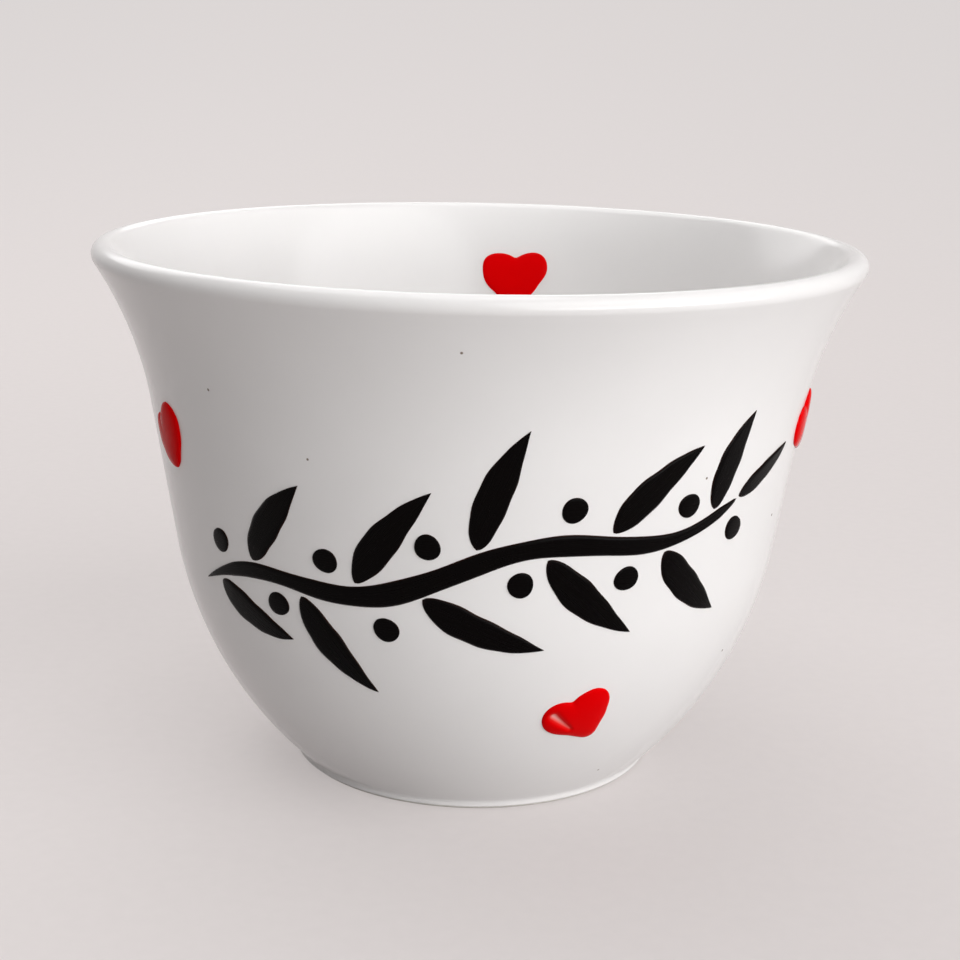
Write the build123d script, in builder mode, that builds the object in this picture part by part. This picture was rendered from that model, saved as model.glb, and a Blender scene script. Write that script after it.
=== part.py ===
"""A handleless porcelain coffee cup with a flared lip, a wiped foot and fired-on enamel.

Millimetres, +Z up, with the origin on the table at the middle of the foot.
The front of the cup looks along -Y. Azimuths are in degrees from the front, growing towards +X.
"""
import math
import os

from build123d import *

# Outside of the finished cup, over the glaze
rim_diameter = 70.0
cup_height = 48.8
lip_reach = 1.73          # how far the flare carries the lip out past the straight wall
flare_radius = 34.6
wall_draft = 9.1          # lean of the straight wall from upright, in degrees
bowl_radius = 36.8
foot_diameter = 34.2
foot_height = 0.4         # upright part of the foot ring
foot_blend = 1.0          # hollow rounding between the foot ring and the bowl

# Wall, floor and foot recess
wall_thickness = 2.0
floor_thickness = 2.6
floor_corner = 9.0        # radius between the floor and the wall inside
recess_diameter = 28.0
recess_depth = 1.4
recess_corner = 0.8
foot_edge = 0.25          # rounding of the ring that meets the table

# Glaze
glaze_thickness = 0.25
glaze_line = 0.3          # bare height of the foot ring

# Red enamel hearts
enamel_height = 0.5       # at the middle of a heart
enamel_dome = 36.0        # radius of its crown, up and down the wall
enamel_edge = 0.25
heart_width = 6.1
heart_height = 5.5
heart_lobe = 1.7          # radius of each lobe
heart_point = 0.8         # rounding at the point
heart_cleft = 0.5         # rounding between the lobes
heart_tilt = 30.0         # the outside hearts lean, with their points to the right
front_heart_azimuth = 21.6
front_heart_drop = 37.3   # below the top of the lip
left_heart_azimuth = -62.4
left_heart_drop = 15.9
right_heart_azimuth = 75.5
right_heart_drop = 15.1
inside_heart_azimuth = 172.7
inside_heart_drop = 8.0
inside_heart_width = 6.9  # the one inside is larger all over

# Black brushwork: a leafy sprig
paint_thickness = 0.16
sprig_azimuth = -4.0      # of the middle of the stem
sprig_drop = 23.4         # of the same, below the top of the lip
sprig_span = 104.0        # azimuth that the stem covers
sprig_rise = 9.0          # climb of the stem from its left end to its right end
sprig_wave = 1.2          # swing of the stem to each side of its climb
stem_width = 1.9          # at the middle
stem_end_width = 0.8
stem_sections = 14
leaf_count = 10           # without the one at the tip of the stem
leaf_length = 11.0
leaf_end_length = 8.4     # of the leaves at the ends of the stem
leaf_back = 1.9           # how far a leaf bulges on its outer side
leaf_front = 0.9          # and on the side towards the stem's end
leaf_base = 0.5           # rounding where the brush was set down
leaf_angle = 47.0         # between a leaf and the stem
leaf_gap = 0.3            # clear glaze between a leaf and the stem
berry_diameter = 2.2
berry_gap = 0.95          # clear glaze between a berry and the stem
berry_lead = 2.2          # how far past the root of the leaf opposite

# Lines of the outside: the wall is straight, an arc leaves it at each end, and the bowl meets the
# foot in a hollow
draft = math.radians(wall_draft)
along = Vector(math.sin(draft), math.cos(draft))
outward = Vector(math.cos(draft), -math.sin(draft))
lip_radius = wall_thickness / 2
lip_centre = Vector(rim_diameter / 2 - lip_radius, cup_height - lip_radius)
foot_radius = foot_diameter / 2
foot_round = min(foot_edge, 0.8 * foot_height)
blend_centre = Vector(foot_radius + foot_blend, foot_height)
recess_radius = recess_diameter / 2
wall_point = lip_centre - outward * lip_reach

blend_inset = -(blend_centre - wall_point).dot(outward)
bowl_run = math.sqrt((bowl_radius + foot_blend) ** 2 - (bowl_radius - blend_inset) ** 2)
bowl_end = wall_point + along * ((blend_centre - wall_point).dot(along) + bowl_run)
bowl_centre = bowl_end - outward * bowl_radius
blend_way = (blend_centre - bowl_centre).normalized()

flare_run = math.sqrt((flare_radius + lip_radius) ** 2 - (flare_radius - lip_reach) ** 2)
flare_start = wall_point - along * flare_run
flare_centre = flare_start + outward * flare_radius
flare_way = (lip_centre - flare_centre).normalized()

# Rounding between the floor and the wall inside
floor_height = recess_depth + floor_thickness
corner_reach = bowl_radius - wall_thickness - floor_corner
corner_rise = floor_height + floor_corner - bowl_centre.Y
corner_centre = bowl_centre + Vector(math.sqrt(corner_reach**2 - corner_rise**2), corner_rise)
corner_way = (corner_centre - bowl_centre).normalized()


def wall_at(height, depth=0.0):
    """Radius of the wall at a height and a depth under its outside, and its outward slope."""
    if height < bowl_end.Y - depth * outward.Y:
        rise = height - bowl_centre.Y
        reach = math.sqrt((bowl_radius - depth) ** 2 - rise**2)
        return bowl_centre.X + reach, Vector(reach, rise).normalized()
    if height < flare_start.Y - depth * outward.Y:
        start = wall_point - outward * depth
        return start.X + (height - start.Y) * math.tan(draft), outward
    rise = height - flare_centre.Y
    reach = math.sqrt((flare_radius + depth) ** 2 - rise**2)
    return flare_centre.X - reach, Vector(reach, -rise).normalized()


def wall_plane(azimuth, height, turn=0.0, inside=False):
    """A plane laid on the wall, facing whoever looks at it, with its x axis turned from level."""
    radius, slope = wall_at(height, wall_thickness if inside else 0.0)
    angle = math.radians(azimuth)
    outwards = Vector(math.sin(angle), -math.cos(angle))
    sideways = Vector(math.cos(angle), math.sin(angle))
    facing = outwards * slope.X + Vector(0, 0, slope.Y)
    origin = outwards * radius + Vector(0, 0, height)
    if inside:
        facing = -facing
        sideways = -sideways
    upwards = facing.cross(sideways)
    turned = sideways * math.cos(math.radians(turn)) + upwards * math.sin(math.radians(turn))
    return Plane(origin, turned, facing)


def stem_height(azimuth):
    """Height of the middle of the stem at an azimuth."""
    share = (azimuth - sprig_azimuth) / sprig_span
    return cup_height - sprig_drop + sprig_rise * share + sprig_wave * math.sin(4 * math.pi * share)


def stem_slope(azimuth):
    """Climb of the stem at an azimuth, in degrees."""
    share = (azimuth - sprig_azimuth) / sprig_span
    climb = sprig_rise + sprig_wave * 4 * math.pi * math.cos(4 * math.pi * share)
    radius, _ = wall_at(stem_height(azimuth))
    return math.degrees(math.atan2(climb, radius * math.radians(sprig_span)))


def towards_end(azimuth, middle, end):
    """A size that goes from its middle value to its end value along the stem."""
    share = (azimuth - sprig_azimuth) / sprig_span
    return middle + (end - middle) * (2 * share) ** 2


def beside_stem(azimuth, lead, side):
    """Azimuth and height of a place so far along the stem and to its left."""
    climb = math.radians(stem_slope(azimuth))
    height = stem_height(azimuth)
    radius, slope = wall_at(height)
    level = lead * math.cos(climb) - side * math.sin(climb)
    upright = lead * math.sin(climb) + side * math.cos(climb)
    return azimuth + math.degrees(level / radius), height + upright * slope.X


def write(piece, name):
    """Label a finished piece and write it to its own file."""
    piece.part.label = name
    export_step(piece.part, f"parts/{name}.step")


def outside_line(depth):
    """Outline of the outside at a depth under it, from the foot to the top of the lip."""
    bowl_low = bowl_centre + blend_way * (bowl_radius - depth)
    wall_low = bowl_end - outward * depth
    wall_high = flare_start - outward * depth
    lip_outer = lip_centre - flare_way * (lip_radius - depth)
    lip_top = lip_centre + Vector(0, lip_radius - depth)
    with BuildLine() as outline:
        RadiusArc((foot_radius - depth, foot_height), bowl_low, foot_blend + depth)
        RadiusArc(bowl_low, wall_low, -(bowl_radius - depth))
        Line(wall_low, wall_high)
        RadiusArc(wall_high, lip_outer, flare_radius + depth)
        RadiusArc(lip_outer, lip_top, -(lip_radius - depth))
    return outline.line


def inside_line(depth):
    """Outline of the inside at a depth under it, from the top of the lip to the middle of the floor."""
    left = wall_thickness - depth
    lip_top = lip_centre + Vector(0, lip_radius - depth)
    lip_inner = lip_centre + flare_way * (lip_radius - depth)
    wall_high = flare_start - outward * left
    wall_low = bowl_end - outward * left
    corner_end = corner_centre + corner_way * (floor_corner + depth)
    corner_start = corner_centre - Vector(0, floor_corner + depth)
    with BuildLine() as outline:
        RadiusArc(lip_top, lip_inner, -(lip_radius - depth))
        RadiusArc(lip_inner, wall_high, -(flare_radius + left))
        Line(wall_high, wall_low)
        RadiusArc(wall_low, corner_end, bowl_radius - left)
        RadiusArc(corner_end, corner_start, floor_corner + depth)
        Line(corner_start, (0, corner_start.Y))
    return outline.line


def cup_section(depth):
    """Half section of the cup at a depth under its finished surface, with the foot on the table."""
    outside = outside_line(depth)
    inside = inside_line(depth)
    side = recess_radius + depth
    ceiling = recess_depth + depth
    with BuildSketch(Plane.XZ) as section:
        with BuildLine():
            add(outside)
            add(inside)
            Polyline(inside @ 1, (0, ceiling), (side, ceiling), (side, 0))
            Polyline((side, 0), (foot_radius - depth, 0), outside @ 0)
        make_face()
        corner = section.vertices().sort_by_distance((side, ceiling))[0]
        fillet(corner, recess_corner + depth)
    return section


def filled(outline, *closing):
    """The solid of revolution of an outline, closed through these points on the axis."""
    with BuildPart() as form:
        with BuildSketch(Plane.XZ):
            with BuildLine():
                add(outline)
                Polyline(outline @ 1, *closing, outline @ 0)
            make_face()
        revolve(axis=Axis.Z)
    return form.part


def film(line, thickness):
    """A skin of one thickness that stands on the surface with this outline."""
    surface = line(0)
    top = line(-thickness)
    with BuildPart() as skin:
        with BuildSketch(Plane.XZ):
            with BuildLine():
                add(surface)
                add(top)
                Line(surface @ 0, top @ 0)
                Line(surface @ 1, top @ 1)
            make_face()
        revolve(axis=Axis.Z)
    return skin.part


os.makedirs("parts", exist_ok=True)

# The porcelain lies one glaze thickness under the finished surface
finished_section = cup_section(0)
porcelain_section = cup_section(glaze_thickness)

with BuildPart() as porcelain_body:
    add(porcelain_section.sketch)
    revolve(axis=Axis.Z)
    fillet(porcelain_body.edges().group_by(Axis.Z)[0], foot_round)
write(porcelain_body, "porcelain_body")

# The glaze fills what is left, down to the line where the foot was wiped
with BuildSketch(Plane.XZ) as glaze_section:
    add(finished_section.sketch_local)
    add(porcelain_section.sketch_local, mode=Mode.SUBTRACT)
    Rectangle(2 * rim_diameter, 2 * glaze_line, mode=Mode.SUBTRACT)

pool_face, coat_face = glaze_section.sketch.faces().sort_by(SortBy.AREA)

with BuildPart() as glaze_coat:
    add(coat_face)
    revolve(axis=Axis.Z)
write(glaze_coat, "glaze_coat")

with BuildPart() as foot_glaze:
    add(pool_face)
    revolve(axis=Axis.Z)
write(foot_glaze, "foot_glaze")

# Raised hearts: one lobe and the point in a hull, mirrored, domed, and seated on the glaze
outer_form = filled(outside_line(0), (0, cup_height), (0, foot_height))
inner_form = filled(inside_line(0), (0, cup_height))


def lay_heart(name, azimuth, height, tilt, width=heart_width, inside=False):
    """One heart of enamel on the outside or the inside of the wall."""
    plane = wall_plane(azimuth, height, tilt, inside)
    radius, slope = wall_at(height, wall_thickness if inside else 0.0)
    dome = Vector(radius, height) + slope * (enamel_height - enamel_dome) * (-1 if inside else 1)
    share = width / heart_width
    half_height = share * heart_height / 2
    lobe = share * heart_lobe
    point = share * heart_point
    # The top edge is rounded by no more than its height, which is least where the wall flares
    edge_drop = half_height**2 / 2 * (1 / enamel_dome + 1 / flare_radius)
    enamel_round = min(enamel_edge, 0.7 * (enamel_height - edge_drop))
    with BuildPart() as heart:
        with BuildSketch(plane) as outline:
            with Locations((width / 2 - lobe, half_height - lobe)):
                Circle(lobe)
            with Locations((0, point - half_height)):
                Circle(point)
            make_hull()
            mirror(about=Plane.YZ)
            cleft = outline.vertices().sort_by_distance((0, half_height))[0]
            fillet(cleft, share * heart_cleft)
        extrude(amount=wall_thickness, both=True)
        with BuildSketch(Plane.XZ):
            with Locations((dome.X, dome.Y)):
                Circle(enamel_dome)
            Rectangle(4 * rim_diameter, 4 * cup_height, align=(Align.MIN, Align.CENTER), mode=Mode.INTERSECT)
        revolve(axis=Axis.Z, mode=Mode.INTERSECT)
        if inside:
            add(inner_form, mode=Mode.INTERSECT)
        else:
            add(outer_form, mode=Mode.SUBTRACT)
        top = heart.faces().sort_by(Axis(plane.origin, plane.z_dir))[-1]
        fillet(top.edges(), enamel_round)
    write(heart, name)


lay_heart("heart_front", front_heart_azimuth, cup_height - front_heart_drop, heart_tilt)
lay_heart("heart_left", left_heart_azimuth, cup_height - left_heart_drop, heart_tilt)
lay_heart("heart_right", right_heart_azimuth, cup_height - right_heart_drop, heart_tilt)
inside_heart_height = cup_height - inside_heart_drop
lay_heart("heart_inside", inside_heart_azimuth, inside_heart_height, 0.0, inside_heart_width, inside=True)

# Brushwork: a stem that climbs to the right, with leaves and berries to both sides of it
paint = film(outside_line, paint_thickness)

with BuildPart() as sprig_stem:
    for step in range(stem_sections + 1):
        azimuth = sprig_azimuth + sprig_span * (step / stem_sections - 0.5)
        angle = math.radians(azimuth)
        outwards = Vector(math.sin(angle), -math.cos(angle))
        radius, _ = wall_at(stem_height(azimuth))
        tall = towards_end(azimuth, stem_width, stem_end_width) / math.cos(math.radians(stem_slope(azimuth)))
        with BuildSketch(Plane((0, 0, 0), outwards, outwards.cross(Vector(0, 0, 1)))):
            with Locations((radius, stem_height(azimuth))):
                Rectangle(2 * wall_thickness, tall)
    loft()
    add(paint, mode=Mode.INTERSECT)
write(sprig_stem, "sprig_stem")


def lay_leaf(name, plane, length, left, right):
    """One brush stroke of a leaf along the plane's x axis, with its bulge to each side."""
    with BuildPart() as leaf:
        with BuildSketch(plane) as outline:
            with BuildLine():
                ThreePointArc((-length / 2, 0), (0, left), (length / 2, 0))
                ThreePointArc((length / 2, 0), (0, -right), (-length / 2, 0))
            make_face()
            fillet(outline.vertices().sort_by(Axis.X)[0], leaf_base)
        extrude(amount=wall_thickness, both=True)
        add(paint, mode=Mode.INTERSECT)
    write(leaf, name)


lean = math.radians(leaf_angle)
leaf_step = sprig_span / leaf_count
leaf_roots = [sprig_azimuth + leaf_step * (index + 0.5 - leaf_count / 2) for index in range(leaf_count)]
for index, root in enumerate(leaf_roots):
    side = 1 if index % 2 else -1
    length = towards_end(root, leaf_length, leaf_end_length)
    stem_side = towards_end(root, stem_width, stem_end_width) / 2
    aside = stem_side + leaf_gap + length / 2 * math.sin(lean)
    middle = beside_stem(root, length / 2 * math.cos(lean), side * aside)
    bulges = (leaf_back, leaf_front) if side > 0 else (leaf_front, leaf_back)
    plane = wall_plane(*middle, stem_slope(root) + side * leaf_angle)
    lay_leaf(f"sprig_leaf_{index + 1:02d}", plane, length, *bulges)

stem_end = sprig_azimuth + sprig_span / 2
tip_middle = beside_stem(stem_end, leaf_gap + leaf_end_length / 2, 0)
tip_plane = wall_plane(*tip_middle, stem_slope(stem_end))
lay_leaf("sprig_leaf_tip", tip_plane, leaf_end_length, leaf_front, leaf_front)

with BuildPart() as sprig_berries:
    for index, root in enumerate(leaf_roots):
        side = -1 if index % 2 else 1
        stem_side = towards_end(root, stem_width, stem_end_width) / 2
        aside = stem_side + berry_gap + berry_diameter / 2
        with BuildSketch(wall_plane(*beside_stem(root, berry_lead, side * aside))):
            Circle(berry_diameter / 2)
        extrude(amount=wall_thickness, both=True)
    add(paint, mode=Mode.INTERSECT)
write(sprig_berries, "sprig_berries")
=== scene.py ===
"""A handleless porcelain coffee cup with a flared lip, raised enamel hearts and a brushed sprig.

Metres, +Z up, with the origin on the ground at the middle of the foot. The front looks along -Y.
Azimuths start at the front and grow towards +X.
"""

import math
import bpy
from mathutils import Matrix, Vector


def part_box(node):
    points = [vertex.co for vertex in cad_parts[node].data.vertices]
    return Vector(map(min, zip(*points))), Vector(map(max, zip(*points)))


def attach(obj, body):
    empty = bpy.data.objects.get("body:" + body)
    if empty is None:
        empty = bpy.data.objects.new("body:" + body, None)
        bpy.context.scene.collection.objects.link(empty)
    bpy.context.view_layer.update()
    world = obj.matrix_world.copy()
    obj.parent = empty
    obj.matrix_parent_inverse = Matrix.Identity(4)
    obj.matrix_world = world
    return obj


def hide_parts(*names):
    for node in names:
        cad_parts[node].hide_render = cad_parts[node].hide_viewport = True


bl_info = {
    "name": "Arabic Coffee Cup",
    "version": (1, 0, 0),
    "blender": (4, 5, 0),
    "location": "View3D > Sidebar > Coffee Cup",
    "description": "Models a glazed porcelain coffee cup with enamel hearts and brushwork",
    "category": "Add Mesh",
}

import bpy
from mathutils import Matrix, Vector

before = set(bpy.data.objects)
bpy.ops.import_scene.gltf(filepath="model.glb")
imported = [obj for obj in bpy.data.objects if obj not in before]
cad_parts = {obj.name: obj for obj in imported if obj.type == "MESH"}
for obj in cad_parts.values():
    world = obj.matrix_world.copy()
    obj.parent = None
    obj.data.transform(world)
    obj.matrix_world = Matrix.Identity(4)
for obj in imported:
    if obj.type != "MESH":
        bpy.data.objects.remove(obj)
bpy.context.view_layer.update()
glaze_low, glaze_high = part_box("glaze_coat")
pool_low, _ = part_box("foot_glaze")

MM = 0.001
WHEEL_STEPS = 192        # flats round the cup
FINE_SPACING = 0.6 * MM  # between points along a section
LIP_SPACING = 0.12 * MM  # the same on tight roundings
MERGE_DISTANCE = 0.001 * MM
SEATING_STEPS = 4        # in which a point of a flat piece is brought onto the wall


def linear(code):
    """Linear colour of an sRGB hex value."""
    channels = [int(code[place:place + 2], 16) / 255 for place in (1, 3, 5)]
    return (*[c / 12.92 if c <= 0.04045 else ((c + 0.055) / 1.055) ** 2.4 for c in channels], 1.0)


def length(name, description, millimetres):
    """A length that is given in millimetres and kept in metres."""
    return bpy.props.FloatProperty(
        name=name, description=description, default=millimetres * MM, precision=5, unit="LENGTH"
    )


def angle(name, description, degrees):
    """An angle that is given in degrees and kept in radians."""
    return bpy.props.FloatProperty(
        name=name, description=description, default=math.radians(degrees), unit="ROTATION", subtype="ANGLE"
    )


def colour(name, description, code):
    """A colour that is given as an sRGB hex value."""
    return bpy.props.FloatVectorProperty(
        name=name, description=description, default=linear(code), size=4, min=0.0, max=1.0, subtype="COLOR"
    )


def count(name, description, number):
    """A whole number."""
    return bpy.props.IntProperty(name=name, description=description, default=number, min=1)


class CupShape(bpy.types.PropertyGroup):
    """Sizes of the thrown cup."""

    rim_diameter: length("Rim diameter", "Across the outside of the lip", 2 * glaze_high.x / MM)
    cup_height: length("Height", "From the ground to the top of the lip", glaze_high.z / MM)
    lip_reach: length("Lip reach", "How far the flare carries the lip past the straight wall", 1.73)
    flare_radius: length("Flare radius", "Radius of the flare under the lip", 34.6)
    wall_draft: angle("Wall draft", "Lean of the straight wall from upright", 9.1)
    bowl_radius: length("Bowl radius", "Radius of the bowl, from the foot to the wall", 36.8)
    foot_diameter: length("Foot diameter", "Across the foot ring", 34.2)
    foot_height: length("Foot height", "Upright part of the foot ring", 0.4)
    foot_blend: length("Foot blend", "Hollow rounding between the foot ring and the bowl", 1.0)
    wall_thickness: length("Wall", "Thickness of the wall with its glaze", 2.0)
    floor_height: length("Floor height", "From the ground to the floor inside", 4.0)
    floor_corner: length("Floor corner", "Radius between the floor and the wall inside", 9.0)
    recess_diameter: length("Recess diameter", "Across the recess under the foot", 28.0)
    recess_depth: length("Recess depth", "Height of the recess under the foot", 1.4)
    recess_corner: length("Recess corner", "Rounding in the recess", 0.8)
    foot_edge: length("Foot edge", "Rounding of the ring that meets the ground", 0.25)
    glaze_thickness: length("Glaze", "Thickness of the glaze", 0.25)
    glaze_line: length("Glaze line", "Bare height of the foot ring", glaze_low.z / MM)


class HeartShape(bpy.types.PropertyGroup):
    """Sizes of the raised hearts. Each leans by the same tilt, apart from the one inside."""

    width: length("Width", "Across both lobes", 6.1)
    height: length("Height", "From the lobes to the point", 5.5)
    lobe: length("Lobe", "Radius of each lobe", 1.7)
    point: length("Point", "Rounding at the point", 0.8)
    rise: length("Rise", "How far the enamel stands off the glaze", 0.5)
    dip: length("Dip", "How far the middle of the enamel sank as it dried", 0.04)
    # the dent also sets the painted pink highlight of the front heart
    dent: length("Dent", "Depth of the dent that the brush left in the front heart", 0.42)
    tilt: angle("Tilt", "Lean of the hearts outside, with their points to the right", 30.0)
    inside_width: length("Width inside", "Across the heart inside the cup", 6.9)


class SprigShape(bpy.types.PropertyGroup):
    """Sizes of the brushed sprig."""

    thickness: length("Paint", "Thickness of the paint", 0.16)
    azimuth: angle("Azimuth", "Where the middle of the stem is", -4.0)
    drop: length("Drop", "From the top of the lip to the middle of the stem", 23.4)
    span: angle("Span", "Azimuth that the stem covers", 104.0)
    climb: length("Climb", "Rise of the stem from its left end to its right end", 9.0)
    wave: length("Wave", "Swing of the stem to each side of its climb", 1.2)
    stem_width: length("Stem width", "Width of the stem at its middle", 1.9)
    stem_end_width: length("Stem end", "Width of the stem at its ends", 0.8)
    leaf_count: count("Leaves", "Leaves along the stem, without the one at its tip", 10)
    leaf_length: length("Leaf length", "Length of the leaves at the middle of the stem", 11.0)
    leaf_end_length: length("End leaf", "Length of the leaves at its ends", 8.4)
    leaf_back: length("Leaf back", "Bulge of a leaf on its outer side", 1.9)
    leaf_front: length("Leaf front", "Bulge of a leaf towards the stem's end", 0.9)
    leaf_angle: angle("Leaf angle", "Between a leaf and the stem", 47.0)
    leaf_gap: length("Leaf gap", "Clear glaze between a leaf and the stem", 0.3)
    berry_diameter: length("Berry", "Across a berry", 2.2)
    berry_gap: length("Berry gap", "Clear glaze between a berry and the stem", 0.95)
    berry_lead: length("Berry lead", "How far a berry lies past the root of the leaf opposite", 2.2)


class CupFinish(bpy.types.PropertyGroup):
    """Colours of the finishes and of the studio."""

    glaze: colour("Glaze", "White glaze", "#F4F2F1")
    bisque: colour("Bisque", "Bare porcelain of the foot ring", "#EFECE6")
    red: colour("Red enamel", "Raised hearts", "#E20003")
    black: colour("Black enamel", "Brushwork", "#050303")
    floor: colour("Floor", "Paper sweep under the cup", "#A29D9C")
    backdrop: colour("Backdrop", "Far paper and air, as the camera sees them", "#DAD5D4")


class CupProfile:
    """Half section of the cup, as radius and height: a bowl arc, a straight wall and a flare to the lip."""

    def __init__(self, cup):
        self.cup = cup
        self.outward = Vector((math.cos(cup.wall_draft), -math.sin(cup.wall_draft)))
        along = Vector((math.sin(cup.wall_draft), math.cos(cup.wall_draft)))
        self.lip_radius = cup.wall_thickness / 2
        self.lip_centre = Vector((cup.rim_diameter / 2 - self.lip_radius, cup.cup_height - self.lip_radius))
        self.wall_point = self.lip_centre - self.outward * cup.lip_reach
        self.blend_centre = Vector((cup.foot_diameter / 2 + cup.foot_blend, cup.foot_height))

        from_wall = self.blend_centre - self.wall_point
        bowl_reach = cup.bowl_radius + from_wall.dot(self.outward)
        bowl_run = math.sqrt((cup.bowl_radius + cup.foot_blend) ** 2 - bowl_reach**2)
        self.bowl_end = self.wall_point + along * (from_wall.dot(along) + bowl_run)
        self.bowl_centre = self.bowl_end - self.outward * cup.bowl_radius
        self.blend_way = (self.blend_centre - self.bowl_centre).normalized()

        lip_reach = cup.flare_radius - cup.lip_reach
        flare_run = math.sqrt((cup.flare_radius + self.lip_radius) ** 2 - lip_reach**2)
        self.flare_start = self.wall_point - along * flare_run
        self.flare_centre = self.flare_start + self.outward * cup.flare_radius
        self.flare_way = (self.lip_centre - self.flare_centre).normalized()

        corner_reach = cup.bowl_radius - cup.wall_thickness - cup.floor_corner
        corner_rise = cup.floor_height + cup.floor_corner - self.bowl_centre.y
        corner_run = math.sqrt(corner_reach**2 - corner_rise**2)
        self.corner_centre = self.bowl_centre + Vector((corner_run, corner_rise))
        self.corner_way = (self.corner_centre - self.bowl_centre).normalized()

    def wall_at(self, height, depth=0.0):
        """Radius of the wall at a height and a depth under its outside, and its outward slope."""
        if height < self.bowl_end.y - depth * self.outward.y:
            rise = height - self.bowl_centre.y
            reach = math.sqrt((self.cup.bowl_radius - depth) ** 2 - rise**2)
            return self.bowl_centre.x + reach, Vector((reach, rise)).normalized()
        if height < self.flare_start.y - depth * self.outward.y:
            start = self.wall_point - self.outward * depth
            return start.x + (height - start.y) * math.tan(self.cup.wall_draft), self.outward
        rise = height - self.flare_centre.y
        reach = math.sqrt((self.cup.flare_radius + depth) ** 2 - rise**2)
        return self.flare_centre.x - reach, Vector((reach, -rise)).normalized()

    def outline(self, depth):
        """Points from the foot over the lip to the middle of the floor, at a depth under the surface."""
        cup = self.cup
        lip = self.lip_radius - depth
        left = cup.wall_thickness - depth
        lip_outer = self.lip_centre - self.flare_way * lip
        lip_top = self.lip_centre + Vector((0, lip))
        lip_inner = self.lip_centre + self.flare_way * lip
        foot_side = Vector((cup.foot_diameter / 2 - depth, cup.foot_height))
        bowl_low = self.bowl_centre + self.blend_way * (cup.bowl_radius - depth)
        outer_low = self.bowl_end - self.outward * depth
        outer_high = self.flare_start - self.outward * depth
        inner_low = self.bowl_end - self.outward * left
        inner_high = self.flare_start - self.outward * left
        corner_end = self.corner_centre + self.corner_way * (cup.floor_corner + depth)
        corner_start = self.corner_centre - Vector((0, cup.floor_corner + depth))
        return [
            *arc(self.blend_centre, foot_side, bowl_low, LIP_SPACING),
            *arc(self.bowl_centre, bowl_low, outer_low),
            *line(outer_low, outer_high),
            *arc(self.flare_centre, outer_high, lip_outer),
            *arc(self.lip_centre, lip_outer, lip_top, LIP_SPACING),
            *arc(self.lip_centre, lip_top, lip_inner, LIP_SPACING),
            *arc(self.flare_centre, lip_inner, inner_high),
            *line(inner_high, inner_low),
            *arc(self.bowl_centre, inner_low, corner_end),
            *arc(self.corner_centre, corner_end, corner_start),
            *line(corner_start, Vector((0, corner_start.y)), 2 * FINE_SPACING),
            Vector((0, corner_start.y)),
        ]

    def recess(self, depth):
        """Points from the foot ring up the side of the recess and along its ceiling to the middle."""
        cup = self.cup
        side = cup.recess_diameter / 2 + depth
        ceiling = cup.recess_depth + depth
        corner = cup.recess_corner + depth
        corner_centre = Vector((side - corner, ceiling - corner))
        corner_top = corner_centre + Vector((0, corner))
        return [
            *arc(corner_centre, corner_centre + Vector((corner, 0)), corner_top, LIP_SPACING),
            *line(corner_top, Vector((0, ceiling)), 2 * FINE_SPACING),
            Vector((0, ceiling)),
        ]


def arc(centre, start, end, spacing=FINE_SPACING):
    """Points along the shorter arc about a centre, from its start up to, but without, its end."""
    first = math.atan2(start.y - centre.y, start.x - centre.x)
    last = math.atan2(end.y - centre.y, end.x - centre.x)
    sweep = (last - first + math.pi) % math.tau - math.pi
    radius = (start - centre).length
    steps = max(2, round(abs(sweep) * radius / spacing))
    turns = [first + sweep * step / steps for step in range(steps)]
    return [centre + radius * Vector((math.cos(turn), math.sin(turn))) for turn in turns]


def line(start, end, spacing=FINE_SPACING):
    """Points along a straight line, from its start up to, but without, its end."""
    steps = max(1, round((end - start).length / spacing))
    return [start.lerp(end, step / steps) for step in range(steps)]


def start_piece(add_primitive, **settings):
    """Add one primitive with nothing else selected, and give its object."""
    bpy.ops.object.select_all(action="DESELECT")
    add_primitive(**settings)
    return bpy.context.object


def throw(section):
    """Turn a section about the axis, as on a potter's wheel, into a closed shell."""
    piece = start_piece(bpy.ops.mesh.primitive_plane_add, size=MM)
    bpy.ops.object.mode_set(mode="EDIT")
    bpy.ops.mesh.select_all(action="SELECT")
    bpy.ops.mesh.merge(type="CENTER")
    places = [Vector((point.x, 0, point.y)) for point in section]
    bpy.ops.transform.translate(value=places[0])
    for before, after in zip(places, places[1:]):
        bpy.ops.mesh.extrude_region_move(TRANSFORM_OT_translate={"value": after - before})
    bpy.ops.mesh.select_all(action="SELECT")
    bpy.ops.mesh.spin(steps=WHEEL_STEPS, angle=math.tau, center=(0, 0, 0), axis=(0, 0, 1))
    bpy.ops.mesh.select_all(action="SELECT")
    bpy.ops.mesh.remove_doubles(threshold=MERGE_DISTANCE)
    bpy.ops.mesh.normals_make_consistent(inside=False)
    bpy.ops.object.mode_set(mode="OBJECT")
    bpy.ops.object.shade_smooth_by_angle(angle=math.radians(40))
    return piece


def hand_over(piece, name, material, slot, *nodes):
    """Name a finished piece, give it its finish, and let it stand for its nodes."""
    piece.name = name
    piece.data.name = name
    piece.data.materials.clear()
    piece.data.materials.append(material)
    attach(piece, "root")
    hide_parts(*nodes)


def on_wall(profile, azimuth, height, lift, inside=False):
    """Place at an azimuth and a height, lifted off the face of the wall."""
    radius, slope = profile.wall_at(height, profile.cup.wall_thickness if inside else 0.0)
    away = -lift if inside else lift
    reach = radius + away * slope.x
    return Vector((reach * math.sin(azimuth), -reach * math.cos(azimuth), height + away * slope.y))


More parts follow.
